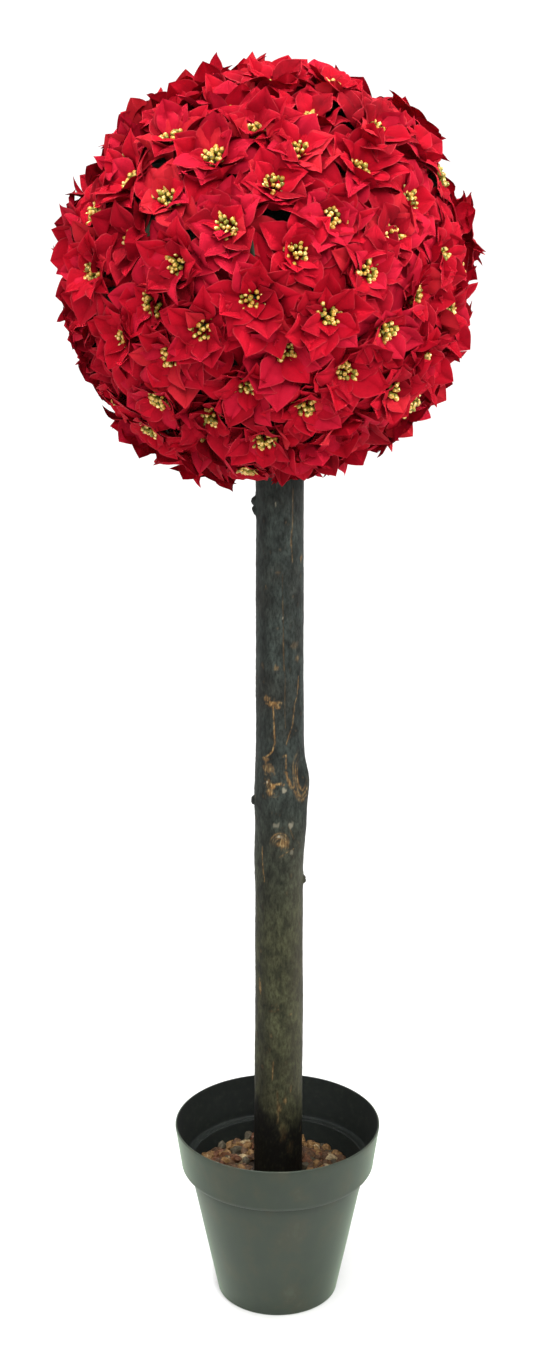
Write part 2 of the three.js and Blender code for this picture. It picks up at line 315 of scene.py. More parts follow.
def template_mesh(name, points, faces, accent, flat_places=None):
    """A template's mesh. Faces marked accent get the accent finish, and flat_places become its UV map."""
    mesh = smooth_mesh(name, points, faces)
    mesh.attributes.new("accent", "BOOLEAN", "FACE").data.foreach_set("value", accent)
    if flat_places is not None:
        layer = mesh.uv_layers.new(name="cloth_mm")
        for loop in mesh.loops:
            layer.data[loop.index].uv = flat_places[loop.vertex_index]
    return mesh


def chance(number, draw):
    """A repeatable share from 0 to 1 for one draw of one numbered thing."""
    wave = math.sin(number * 12.9898 + draw * 78.233) * 43758.5453
    return wave - math.floor(wave)


def mix(low, high, share):
    return low + (high - low) * share


# ------------ Finishes ------------


def new_material(name):
    """A material with an empty tree, and the tree."""
    material = bpy.data.materials.new(name)
    material.use_nodes = True
    material.node_tree.nodes.clear()
    return material, material.node_tree


def coat(tree, **inputs):
    """Ends a material's tree with its shader and output. An input's name has _ for each space."""
    named = {name.replace("_", " "): value for name, value in inputs.items()}
    shader = add_node(tree, "ShaderNodeBsdfPrincipled", named)
    add_node(tree, "ShaderNodeOutputMaterial", {"Surface": shader})


def clouds(tree, size_mm, detail=3.0, coarseness=0.55, stretch=(1.0, 1.0, 1.0)):
    """A pattern of clouds about size_mm across, on the piece's own coordinates."""
    place = add_node(tree, "ShaderNodeTexCoord").outputs["Object"]
    placed = add_node(tree, "ShaderNodeMapping", {"Vector": place, "Scale": stretch})
    scaled = {"Vector": placed, "Scale": 1 / (size_mm * MM), "Detail": detail, "Roughness": coarseness}
    return add_node(tree, "ShaderNodeTexNoise", scaled)


def mottled(name, pattern, tones, depth_mm=0, strength=1.0, grit=None, **inputs):
    """A material coloured by a pattern of clouds, where that pattern or a finer grit stands out."""
    material, tree = new_material(name)
    mottle = clouds(tree, *pattern)
    if depth_mm:
        height = clouds(tree, *grit) if grit else mottle
        relief = {"Height": height, "Distance": depth_mm * MM, "Strength": strength}
        inputs["Normal"] = add_node(tree, "ShaderNodeBump", relief)
    coat(tree, Base_Color=add_node(tree, "ShaderNodeValToRGB", {"Fac": mottle}, tones), **inputs)
    return material


def moulded_polypropylene(name, dust):
    """Recycled polypropylene, injection moulded with a matte tool: dark grey-green and faintly cloudy,
    with a film of dust that lightens it at grazing angles, except under the band, where none can lie."""
    tones = [(0.3, "#212820"), (0.5, "#242c22"), (0.63, "#2c2e22"), (0.78, "#373d32")]
    shine = {"Roughness": 0.5, "IOR": 1.49, "Specular_IOR_Level": 0.3}
    film = {"Sheen_Weight": dust, "Sheen_Roughness": 0.38, "Sheen_Tint": linear("#b0cdaa")}
    return mottled(name, (30, 5, 0.6, (1, 1, 0.7)), tones, 0.05, 0.5, (1.1, 2), **shine, **film)


def polypropylene_inside_shaded():
    """The same plastic inside the pot, coloured darker than outside as painted shade, and dusted by the
    gravel.
    """
    tones = [(0.38, "#0e1311"), (0.55, "#131814"), (0.68, "#1e221d"), (0.8, "#2b2e28")]
    shine = {"Roughness": 0.68, "IOR": 1.49, "Specular_IOR_Level": 0.3}
    return mottled("Polypropylene inside the pot", (9, 6, 0.7), tones, **shine)


def cast_cement():
    """Sand and cement, poured and left rough: grey with fine grit."""
    return mottled("Cast cement", (2.5, 6, 0.7), [(0.3, "#6f6a61"), (0.7, "#a19b90")], 0.4, Roughness=0.95)


def flint(name, hex_value, rind_hex):
    """Broken flint, as dug: a waxy stone with a paler rind, dulled by dust."""
    tones = [(0.35, hex_value), (0.7, rind_hex)]
    shine = {"Roughness": 0.6, "IOR": 1.54, "Specular_IOR_Level": 0.14}
    return mottled(name, (5, 5, 0.65), tones, 0.35, 0.6, (2.2, 4), **shine)


def gravel_bed_shade():
    """A near black bed under the stones with a gritty relief, as painted shade between them."""
    return mottled("Gravel dust", (3, 6, 0.7), [(0.35, "#150f0a"), (0.7, "#3d2c1c")], 0.8, Roughness=0.9)


def smooth_bark(settings):
    """Thin smooth bark of a young hardwood log, with its oils still in it: greenish slate over the knots and
    olive brown under them, black and damp at the foot, brown wood where it is split or rubbed. Its near black
    layer also lays on painted shade and the ball's painted shadow, and its pale layer a painted highlight."""
    material, tree = new_material("Smooth hardwood bark")
    place = add_node(tree, "ShaderNodeTexCoord").outputs["Object"]
    height = add_node(tree, "ShaderNodeSeparateXYZ", {0: place}).outputs["Z"]
    knots = {"Value": height, "From Min": 0.46, "From Max": 0.70}
    upper = add_node(tree, "ShaderNodeMapRange", knots, interpolation_type="SMOOTHSTEP")
    darkening, bare, scar_and_highlight = (
        add_node(tree, "ShaderNodeAttribute", attribute_name=name).outputs["Fac"]
        for name in ("dark_stain", "bare_wood", "pale_scar")
    )
    blotches = clouds(tree, 12, 5, 0.62, (1, 1, 0.5))
    grain = clouds(tree, 2.8, 5, 0.7, (1, 1, 0.4))
    fibres = clouds(tree, 2.2, 4, 0.55, (1, 1, 0.3))
    tint, blotched, grained, wood = (
        add_node(tree, "ShaderNodeValToRGB", {"Fac": pattern}, tones)
        for pattern, tones in (
            (clouds(tree, 50, 4), [(0.48, "#000000"), (0.66, "#9c9c9c")]),
            (blotches, [(0.36, "#a0a0a0"), (0.5, "#cfcfcf"), (0.64, "#f6f6f6")]),
            (grain, [(0.36, "#747474"), (0.5, "#d2d2d2"), (0.64, "#ffffff")]),
            (fibres, [(0.35, "#4b361d"), (0.5, "#775833"), (0.68, "#aa8f60")]),
        )
    )
    colour = [*settings.lower_bark, 1.0]
    # Each layer: its share, how it is laid on, and its colour.
    for share, laid_on, over in (
        (upper, "MIX", [*settings.upper_bark, 1.0]),
        (tint, "MIX", linear("#31251a")),
        (1.0, "MULTIPLY", blotched),
        (0.8, "MULTIPLY", grained),
        # The near black layer holds the damp foot and stains, and also painted shade and the ball's painted
        # shadow.
        (darkening, "MIX", linear("#060504")),
        (bare, "MIX", wood),
        # The pale layer holds scars, and also a painted highlight on a knot.
        (scar_and_highlight, "MIX", linear("#918a77")),
    ):
        inputs = {0: share, 6: colour, 7: over}
        colour = add_node(tree, "ShaderNodeMix", inputs, data_type="RGBA", blend_type=laid_on).outputs[2]
    fine = {"Height": grain, "Distance": 0.35 * MM, "Strength": 0.7}
    coarse = {"Height": blotches, "Distance": 0.8 * MM, "Strength": 0.5}
    skin = add_node(tree, "ShaderNodeBump", {**coarse, "Normal": add_node(tree, "ShaderNodeBump", fine)})
    coat(tree, Base_Color=colour, Normal=skin, Roughness=0.62, Specular_IOR_Level=0.12)
    return material


def pressed_cloth(name, hex_value, shade_hex):
    """Polyester cloth, dyed and heat pressed into bracts: a deep flat red with a faint nap. Its threads
    are 0.3 mm apart, too fine to show, so the weave is drawn at 0.9 mm."""
    material, tree = new_material(name)
    flat, thread_mm = add_node(tree, "ShaderNodeUVMap", uv_map="cloth_mm"), 0.9
    # At scale 1 a wave's bands are 2 pi / 20 apart.
    woven = {"Vector": flat, "Scale": math.tau / 20 / thread_mm, "Distortion": 0.6, "Detail": 1.0}
    warp, weft = (
        add_node(tree, "ShaderNodeTexWave", woven, bands_direction=way).outputs["Fac"] for way in ("X", "Y")
    )
    crossed = add_node(tree, "ShaderNodeMath", {0: warp, 1: weft}, operation="MAXIMUM")
    tones = [(0.3, shade_hex), (0.62, hex_value)]
    nap = {"Height": clouds(tree, 1.8), "Distance": 0.25 * MM, "Strength": 0.5}
    weave = {"Height": crossed, "Distance": 0.08 * MM, "Strength": 0.5}
    coat(
        tree,
        Base_Color=add_node(tree, "ShaderNodeValToRGB", {"Fac": clouds(tree, 16)}, tones),
        Normal=add_node(tree, "ShaderNodeBump", {**weave, "Normal": add_node(tree, "ShaderNodeBump", nap)}),
        Roughness=0.78,
        Specular_IOR_Level=0.05,
    )
    return material


def cut_edge_and_highlight():
    """The bracts' hot-cut edge, a thin brighter line: partly threads melted by the cut, and partly a painted
    highlight along the edge.
    """
    melted = {"Roughness": 0.7, "Specular_IOR_Level": 0.1}
    return mottled("Hot cut cloth edge", (6, 2), [(0.35, "#931121"), (0.7, "#a7252e")], **melted)


def leaf_cloth():
    """The same cloth dyed green, for the few leaves under the heads: nearly black in their shade."""
    return mottled("Green leaf cloth", (14,), [(0.35, "#101b12"), (0.68, "#24361c")], Roughness=0.75)


def moss_foam():
    """Floral foam ball, dyed near black green: dull and finely pitted."""
    tones = [(0.35, "#0a0d08"), (0.7, "#1d2518")]
    return mottled("Dyed floral foam", (4, 5, 0.7), tones, 1.2, Roughness=0.95)


def gilded_bud():
    """Foam buds dipped in gold-yellow lacquer: a soft shine, with a browner tone where it is thin."""
    tones = [(0.34, "#8a6718"), (0.5, "#c79937"), (0.66, "#efd48d")]
    return mottled("Gold lacquered bud", (3.2, 2), tones, Roughness=0.34)


def olive_calyx():
    """Moulded polyethylene cups and stems under the buds: olive green, a little waxy."""
    return mottled("Olive moulded calyx", (3, 2), [(0.3, "#4a4a15"), (0.7, "#9f952f")], Roughness=0.5)


def painted_floor():
    """Matte white studio floor paint."""
    return mottled("Matte white floor paint", (400, 2), [(0.3, "#e8e8e7"), (0.7, "#ededec")], Roughness=0.9)


# ------------ Pot, cement and gravel ------------

# The pot's small sizes: the ring that closes its floor, the rise of its underside and the width of the
# slope to it, the break of its sharp corners, and how far the straight inside of the band stops short
# of the rim.
POT_PINHOLE = 0.0005
POT_HOLLOW = 0.0015
POT_HOLLOW_SLOPE = 0.002
POT_BREAK = 0.0004
POT_RIM_STEP = 0.006
# The bead on the ledge's inner edge, as steps outwards and upwards from the neck's inside.
LEDGE_BEAD = ((0.0030, 0.0003), (0.0023, 0.0011), (0.0009, 0.0013), (0.0001, 0.0006), (0.0, -0.0013))


def turned_points(profile, sides):
    """Rings of points from (radius, height) rows that run up the outside."""
    return [
        (radius * math.cos(math.tau * side / sides), radius * math.sin(math.tau * side / sides), height)
        for radius, height in profile
        for side in range(sides)
    ]


def end_caps(points, sides):
    """Faces that close the first and the last ring of a turned body."""
    last = len(points) - sides
    return [tuple(reversed(range(sides))), tuple(range(last, last + sides))]


def arc(centre, radius, start, end, steps):
    """Points of an arc in the profile's plane, with its angles in degrees."""
    turns = [math.radians(mix(start, end, step / steps)) for step in range(steps + 1)]
    return [(centre[0] + radius * math.cos(turn), centre[1] + radius * math.sin(turn)) for turn in turns]


def straight(start, end, steps):
    """Points of a straight run in the profile's plane, without the one that it starts from."""
    shares = [step / steps for step in range(1, steps + 1)]
    return [(mix(start[0], end[0], share), mix(start[1], end[1], share)) for share in shares]


def pot_profile(pot):
    """Outside from the middle of the floor to the rim, then inside down to the middle again.

    Returns the rows of (radius, height) and the number of the first row that lies inside.
    """
    corner, chamfer, lip = pot.band_corner, pot.foot_chamfer, pot.wall / 2
    foot, band, band_foot = pot.foot_radius, pot.band_foot_radius, pot.band_foot_height
    ring = foot - 0.010
    rim = (pot.rim_radius - lip, pot.height - lip)
    outside = [
        (POT_PINHOLE, POT_HOLLOW),
        (ring - POT_HOLLOW_SLOPE, POT_HOLLOW),
        (ring, 0.0),
        (foot - chamfer, 0.0),
        *arc((foot - chamfer, chamfer), chamfer, -70, 0, 4),
        *straight((foot, chamfer), (pot.neck_radius, band_foot - 4 * POT_BREAK), 14),
        (pot.neck_radius, band_foot - POT_BREAK),
        (pot.neck_radius + POT_BREAK, band_foot),
        *arc((band - corner, band_foot + corner), corner, -80, 0, 7),
        *straight((band, band_foot + corner), (pot.rim_radius, pot.height - pot.wall), 6),
        *arc(rim, lip, 20, 90, 4),
    ]
    ledge = band_foot + pot.ledge
    rim_inside, band_inside = pot.rim_radius - pot.wall, band - pot.wall
    neck_inside, foot_inside = pot.neck_radius - pot.wall, foot - pot.wall
    inside = [
        *arc(rim, lip, 110, 180, 3),
        (rim_inside - POT_BREAK, pot.height - POT_RIM_STEP),
        *straight((rim_inside, pot.height - POT_RIM_STEP), (band_inside, ledge + corner), 6),
        *arc((band_inside - 0.003, ledge + 0.003), 0.003, -10, -80, 4),
        *((neck_inside + out, ledge + up) for out, up in LEDGE_BEAD),
        (foot_inside + 0.001, pot.floor + 0.002),
        (foot_inside - 0.002, pot.floor),
        (POT_PINHOLE, pot.floor),
    ]
    return outside + inside, len(outside)


class TOPIARY_OT_pot(bpy.types.Operator):
    """Makes the moulded pot, with its rim band, ledge and foot ring."""

    bl_idname = "topiary.pot"
    bl_label = "Pot"
    sides = 160

    def execute(self, context):
        pot = context.scene.topiary_pot
        profile, first_inside = pot_profile(pot)
        points = turned_points(profile, self.sides)
        faces = grid_faces(len(profile), self.sides) + end_caps(points, self.sides)
        dusty = moulded_polypropylene("Moulded polypropylene, dusty", 0.45)
        piece = mesh_piece("pot_shell", points, faces, dusty)
        piece.data.materials.append(polypropylene_inside_shaded())
        piece.data.materials.append(moulded_polypropylene("Moulded polypropylene, clean", 0.0))
        inner = first_inside * self.sides
        underside = len(faces) - 2
        for face in piece.data.polygons:
            under_band = math.hypot(*face.center.xy) > pot.neck_radius and face.normal.z < -0.3
            # Faces inside the pot take the darker copy of the plastic, which is painted shade.
            if face.index >= inner and face.index != underside:
                face.material_index = 1
            elif face.index < inner and under_band:
                face.material_index = 2
        dress(piece, "pot_plastic", "pot")
        return {"FINISHED"}


class TOPIARY_OT_cement(bpy.types.Operator):
    """Gives the cement that holds the log its finish."""

    bl_idname = "topiary.cement"
    bl_label = "Cement"

    def execute(self, context):
        cement = cast_cement()
        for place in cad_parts["pot_filling"].material_slots:
            place.material = cement
        return {"FINISHED"}


def bed_height(gravel, x, y):
    """Height of the gravel's bed at a place: mounded to the log, higher on the left, and uneven."""
    place = Vector((x, y, 0))
    level = mix(gravel.mound_height, gravel.edge_height, min(1.0, math.hypot(x, y) / BED_HIGH.x))
    heap = 0.004 * noise.noise(place / 0.05) + 0.0022 * noise.noise(place / 0.012)
    return level - gravel.lean * x / BED_HIGH.x + heap


def bed_mesh(gravel, name, material, inner, outer, drop=0.0):
    """The top of the gravel between two radii, let down by a drop."""
    rings, sides = 16, 72
    flat = turned_points([(mix(inner, outer, ring / rings), 0) for ring in range(rings + 1)], sides)
    points = [(x, y, bed_height(gravel, x, y) - drop) for x, y, _ in flat]
    return mesh_piece(name, points, grid_faces(rings + 1, sides, outwards=True), material)


def stone_mesh(number):
    """One broken stone: a lumpy closed body with a few flats, unit sized."""
    flats = []
    for cut in range(5):
        out = direction(mix(-1, 1, chance(number, 40 + cut)), math.tau * chance(number, 50 + cut))
        flats.append((out, mix(0.26, 0.4, chance(number, 60 + cut))))

    def broken(place):
        place = place * (1 + 0.35 * noise.noise(place * 2.2 + Vector((number * 7.0, 0, 0))))
        for out, far in flats:
            place -= out * max(0, place.dot(out) - far) * 0.85
        return place

    mesh = shaped_ball(f"stone_{number}", 2, 0.5, broken)
    mesh.attributes.new("accent", "BOOLEAN", "FACE")
    return mesh


def direction(up, turn):
    """The way that rises to a height of up on a unit ball, at a turn from +X."""
    across = math.sqrt(1 - up * up)
    return Vector((across * math.cos(turn), across * math.sin(turn), up))


def gravel_tree():
    """The tree that drops stones over a bed: scattered with a seed, turned and sized at random."""
    own = ("Bed", "Geometry"), ("Density", "Float"), ("Seed", "Int")
    tree, given = new_tree("Scatter stones over a bed", *own)
    seed = {"Seed": given["Seed"]}
    spread = {"Mesh": given["Bed"], "Density": given["Density"], **seed}
    spots = add_node(tree, "GeometryNodeDistributePointsOnFaces", spread, distribute_method="RANDOM")
    lift = add_node(tree, "FunctionNodeRandomValue", {2: -0.004, 3: 0.003, **seed}, data_type="FLOAT")
    upward = add_node(tree, "ShaderNodeCombineXYZ", {"Z": lift.outputs[1]})
    lifted = add_node(tree, "GeometryNodeSetPosition", {"Geometry": spots, "Offset": upward})
    turn, shape = (
        add_node(tree, "FunctionNodeRandomValue", {0: least, 1: most, **seed}, data_type="FLOAT_VECTOR")
        for least, most in (((-0.6, -0.6, 0.0), (0.6, 0.6, math.tau)), ((0.5, 0.45, 0.4), (1.0, 0.85, 0.75)))
    )
    return place_copies(tree, given, lifted, turn, shape)


class TOPIARY_OT_gravel(bpy.types.Operator):
    """Scatters flint gravel over its bed, one piece for each colour of stone."""

    bl_idname = "topiary.gravel"
    bl_label = "Gravel"
    # Name, colour, colour of the rind, stones for each square metre and seed.
    stones = (
        ("brown", "#33241a", "#563e29", 6000, 3),
        ("tan", "#513a20", "#7c5f3c", 5600, 11),
        ("reddish", "#3d2316", "#61402a", 3600, 19),
        ("grey_brown", "#2b261c", "#4a4334", 2200, 27),
        ("pale", "#675842", "#a08d68", 900, 35),
    )
    # How far the bed lies under the stones, stays off the wall and runs in under the log's bark.
    bed_drop, wall_gap, under_log = 0.004, 0.0006, 0.008
    # The room that the stones' middles leave at the log and at the wall, in lengths of the largest.
    log_room, wall_room = 0.25, 0.3
    shapes = 9

    def execute(self, context):
        gravel = context.scene.topiary_gravel
        log_radius = context.scene.topiary_log.foot_radius
        # The bed under the stones is near black, as painted shade between them.
        dust = gravel_bed_shade()
        wall = BED_HIGH.x - self.wall_gap
        bed = bed_mesh(gravel, "gravel_bed", dust, log_radius - self.under_log, wall, self.bed_drop)
        stone_size = gravel.stone_size
        spread = (log_radius + self.log_room * stone_size, wall - self.wall_room * stone_size)
        templates = template_collection("stones", [stone_mesh(number) for number in range(self.shapes)])
        tree = gravel_tree()
        for name, hex_value, rind_hex, density, seed in self.stones:
            stone = flint(f"Flint, {name.replace('_', ' ')}", hex_value, rind_hex)
            inputs = {"Templates": templates, "Main finish": stone, "Accent finish": stone}
            inputs |= {"Size": stone_size, "Density": float(density), "Seed": seed}
            holder = bed_mesh(gravel, name + "_spread", dust, *spread)
            dress(settle("gravel_" + name, holder, tree, inputs), "flint_gravel", "gravel")
        dress(bed, "flint_gravel", "gravel")
        return {"FINISHED"}


# ------------ Log ------------

# Branch collars that swell out of the log: height, angle from the front towards +X, swell, and how wide
# and tall each one is, in millimetres and degrees.
COLLARS = (
    (678, 70, 7.0, 44, 27), (628, 78, 3.2, 50, 34), (662, -58, 2.6, 40, 34), (606, 4, 2.6, 40, 26),
    (645, 172, 3.4, 60, 46), (575, -90, 1.5, 50, 34),
)
# Stubs of side twigs that were cut off short: height, angle, radius and how far each stands out.
STUBS = (
    (654, -84, 6.6, 4.2), (553, 84, 5.0, 3.6), (1014, -84, 6.5, 4.8), (1003, -82, 5.6, 4.2),
    (436, 150, 4.6, 3.4), (872, 196, 5.0, 3.6),
)
# Healed knots with rings of bark round them: height, angle, half width, half height, the way that the
# open rings look (0 is up and 90 towards +angle), how far they show bare wood, and their depth.
KNOTS = (
    (690, 53, 11, 27, 225, 0.75, 1.3), (608, 0, 10, 12, 20, 0.6, 1.1), (676, -14, 8, 9, 240, 0.4, 1.2),
    (648, 160, 15, 22, 90, 0.5, 1.0), (655, -84, 9, 14, 0, 0.0, 0.7), (860, -150, 10, 16, 180, 0.4, 0.8),
    (410, 205, 11, 14, 0, 0.5, 0.8),
)
# Cracks in the bark: half width in millimetres, how far they show bare wood, and their course as
# (height, angle) points.
CRACKS = (
    (0.55, 0.35, ((1036, 34), (989, 31), (970, 28), (947, 31))),
    (0.8, 0.7, ((985, 29), (966, 27))),
    (0.5, 0.22, ((933, 6), (882, 8), (835, 9), (810, 13), (777, 12), (750, 14))),
    (0.6, 0.4, ((862, 8), (822, 10))),
    (0.75, 1.0, ((776, -16), (748, -13), (733, -11), (722, -17), (717, -27), (711, -42))),
    (0.6, 0.8, ((810, 51), (787, 46), (779, 39), (752, 32), (742, 23), (729, 15))),
    (0.75, 1.0, ((717, 15), (698, 15))),
    (1.6, 0.85, ((697, 14), (679, 25), (675, 33), (669, 38), (664, 50))),
    (0.8, 0.5, ((716, 8), (718, 15))),
    (0.65, 0.9, ((601, -44), (584, -44), (567, -40), (558, -37))),
    (0.7, 0.5, ((591, 0), (597, 15), (600, 33))),
    (0.6, 0.35, ((629, 22), (613, 33))),
    (0.65, 0.7, ((323, -13), (300, -15))),
    (1.1, 0.22, ((284, -3), (268, -2), (252, 0), (242, -2))),
    (0.7, 0.7, ((385, 24), (386, 31))),
    (0.6, 0.3, ((392, -27), (390, -13), (394, 0))),
    (0.65, 0.8, ((900, 140), (760, 148))),
    (0.65, 0.8, ((520, 172), (400, 166))),
    (0.65, 0.7, ((980, 220), (880, 226))),
    (0.65, 0.8, ((360, -120), (270, -116))),
)
# Spots of rubbed bare wood, of pale scar with one painted highlight, and of dark stain with painted shade and
# shadow: height, angle, half width, half height and strength.
RUBS = (
    (785, -32, 5, 4, 0.5), (780, -15, 9, 4.2, 0.8), (776, -5, 4, 2.4, 0.6), (684, -27, 4, 4, 0.9),
    (679, -17, 4, 5, 1.0), (671, -23, 3, 4, 0.8), (682, -4, 7, 2.2, 0.75), (700, -26, 8, 8, 0.4),
    (711, -32, 5, 3, 0.6), (823, -7, 3.4, 3.2, 0.3), (833, 46, 3, 3, 0.25), (849, 37, 6, 5, 0.15),
    (950, 63, 3, 4, 0.45), (935, -4, 5, 1.2, 0.3), (609, 8, 7, 7, 0.55), (420, -53, 2.2, 9, 0.5),
    (272, 16, 2.8, 4.8, 0.4), (262, 2, 3.4, 7, 0.25), (286, 30, 1.6, 5, 0.25), (205, 30, 5, 10, 0.12),
    (226, 12, 5, 12, 0.08),
)
# Pale spots are scars, but the one at 617 mm in the middle of a knot is a painted highlight.
SCARS_AND_HIGHLIGHT = (
    (631, -9, 4, 3, 0.3), (630, 27, 3, 4, 0.45), (596, 30, 2.6, 3, 0.3), (684, -29, 2.2, 1.8, 0.8),
    (674, 10, 2.6, 3.2, 0.6), (617, 0, 3.4, 1.8, 0.9), (882, 7, 1.4, 1.8, 0.6),
    (1015, -10, 1.2, 1.8, 0.6),
)
# Dark spots are stains, but the one at 1030 mm is the ball's painted shadow on the log, and the one at 610 mm
# is painted shade in the hollow under a knot.
STAINS_AND_SHADE = (
    (996, 15, 4.5, 4, 0.65), (610, -3, 3.2, 4.5, 0.7), (588, 38, 2.4, 3, 0.6), (690, 53, 4.5, 13, 0.45),
    (676, -10, 5, 4, 0.6), (812, -42, 9, 30, 0.4), (1030, 0, 30, 14, 0.35), (560, -20, 9, 14, 0.25),
)
# The upper edge of the black, damp foot, as (angle, height) points round the log.
DAMP_EDGE = (
    (-180, 246), (-64, 282), (-43, 276), (-26, 262), (-6, 252), (21, 242), (37, 249), (64, 249),
    (180, 246),
)


def angle_between(a, b):
    """Degrees from b to a, from -180 to 180, for numbers and arrays."""
    return (a - b + 180) % 360 - 180


def round_log(radius, a, b):
    """Millimetres round the log from b to a, which are in degrees."""
    return np.radians(angle_between(a, b)) * radius


def bell(value):
    """A hump of height 1 at 0 that falls off to both sides, for numbers and arrays."""
    return np.exp(-value * value)


def smooth_share(value, low, high):
    share = np.clip((value - low) / (high - low), 0, 1)
    return share * share * (3 - 2 * share)


def log_axis_mm(log, height):
    """Sideways place of the log's axis at a height in millimetres."""
    ball_height = bpy.context.scene.topiary_ball.centre[2] / MM
    return log.lean / MM * np.sin(height / ball_height * math.pi * 0.75)


def log_radius_mm(log, height, angle):
    """Radius of the log, with its collars, at a height in millimetres and an angle in degrees."""
    low, high = LOG_LOW.z / MM, LOG_HIGH.z / MM
    radius = mix(log.foot_radius / MM, log.top_radius / MM, (height - low) / (high - low))
    for at, turn, swell, wide, tall in COLLARS:
        radius = radius + swell * bell(angle_between(angle, turn) / wide) * bell((height - at) / tall)
    return radius


def grid_noise(x, y, z):
    """Blender's noise at arrays of places."""
    flat = [noise.noise(Vector(p)) for p in zip(x.ravel(), y.ravel(), z.ravel())]
    return np.array(flat).reshape(x.shape)


def line_distance(height, angle, radius, course):
    """Millimetres along the bark from a course of (height, angle) points, as an array."""
    nearest = np.full(height.shape, np.inf)
    for (start, start_turn), (end, end_turn) in zip(course, course[1:]):
        up, across = height - start, round_log(radius, angle, start_turn)
        rise, swing = end - start, round_log(radius, end_turn, start_turn)
        share = np.clip((up * rise + across * swing) / (rise**2 + swing**2), 0, 1)
        nearest = np.minimum(nearest, np.hypot(up - share * rise, across - share * swing))
    return nearest


def bark_relief(log, height, angle):
    """Height of the bark above the plain log, and its shares of bare wood, of pale scar with a painted
    highlight, and of dark stain with painted shade and a painted shadow, all as arrays over the grid of
    heights in millimetres and angles in degrees."""
    turn = np.radians(angle)
    radius = log_radius_mm(log, height, angle)
    east, north = 30 * np.sin(turn), -30 * np.cos(turn)
    broad = grid_noise(east / 26, north / 26, height / 85)
    flutes = grid_noise(east / 7, north / 7, height / 60 + 9)
    patches = grid_noise(east / 8, north / 8, height / 11 + 4)
    crumbs = grid_noise(east / 2.6, north / 2.6, height / 3.4)
    # What follows is in millimetres for the relief, and in shares for the marks.
    relief = log.relief / MM * broad + 0.3 * flutes + 0.22 * patches + 0.24 * crumbs
    bare = 0.12 * smooth_share(patches + 0.4 * crumbs, 0.56, 0.85)
    # The front's right is paler under the knots. Painted shade darkens a band down its left, and its right
    # higher up.
    paler_right = smooth_share(angle_between(angle, 0), 5, 60) * smooth_share(640 - height, 0, 90)
    scar_and_highlight = 0.07 * paler_right * smooth_share(height, 240, 300)
    stain_and_shade = 0.34 * bell(angle_between(angle, -42) / 19) + 0.3 * smooth_share(patches, 0.1, 0.5)
    stain_and_shade += 0.3 * bell(angle_between(angle, 46) / 18) * smooth_share(height, 600, 760)
    for at, turned_to, radius_mm, stands in STUBS:
        across = round_log(radius, angle, turned_to)
        off = np.hypot(across, height - at - 0.15 * across) / radius_mm
        body = np.clip(1 - off**3.0, 0, 1) ** 0.8
        relief += body * (stands + 2.2 * crumbs) + 0.6 * bell((off - 1.35) / math.sqrt(0.06))
        stain_and_shade = np.maximum(stain_and_shade, 0.75 * body)
    for at, turned_to, half_wide, half_tall, looks, open_share, depth in KNOTS:
        across = round_log(radius, angle, turned_to) / half_wide
        along = (height - at) / half_tall
        off = np.hypot(across, along)
        bent = off + 0.10 * flutes + 0.05 * patches
        relief += depth * (0.6 * bell((off - 1) / 0.35) - bell(off / 0.6))
        way = math.radians(looks)
        toward = (along * math.cos(way) + across * math.sin(way)) / (off + 0.2)
        side = smooth_share(toward, -0.7, 0.8) * (0.7 + 0.9 * crumbs + 0.5 * patches)
        for ring in (0.62, 0.86, 1.12):
            line = bell((bent - ring) / 0.07)
            relief -= 0.35 * depth * line
            bare = np.maximum(bare, np.clip(open_share * line * side, 0, 1))
    broken = np.clip(0.75 + 1.1 * crumbs + 0.5 * patches, 0, 1)
    for half_wide, open_share, course in CRACKS:
        body = bell(line_distance(height, angle, radius, course) / half_wide)
        relief -= 0.5 * body
        bare = np.maximum(bare, open_share * body * broken)
        stain_and_shade = np.maximum(stain_and_shade, 0.5 * body)
    for spots, shares in ((RUBS, bare), (SCARS_AND_HIGHLIGHT, scar_and_highlight), (STAINS_AND_SHADE, stain_and_shade)):
        for at, turned_to, half_wide, half_tall, strength in spots:
            across = round_log(radius, angle, turned_to) / half_wide
            off = np.hypot(across, (height - at) / half_tall) + 0.7 * crumbs + 0.4 * patches
            np.maximum(shares, strength * smooth_share(-off, -1.25, -0.45), out=shares)
    edge = np.interp(angle_between(angle, 0), *zip(*DAMP_EDGE)) + 14 * patches + 9 * crumbs
    darkening = smooth_share(edge - height, -10, 24)
    stain_and_shade = np.maximum(stain_and_shade, darkening * (0.97 - 0.5 * bare - 0.2 * smooth_share(crumbs, 0.1, 0.5)))
    bare *= 1 - 0.75 * smooth_share(edge - 30 - height, -10, 20)
    return relief, bare, scar_and_highlight, np.clip(stain_and_shade, 0, 1)


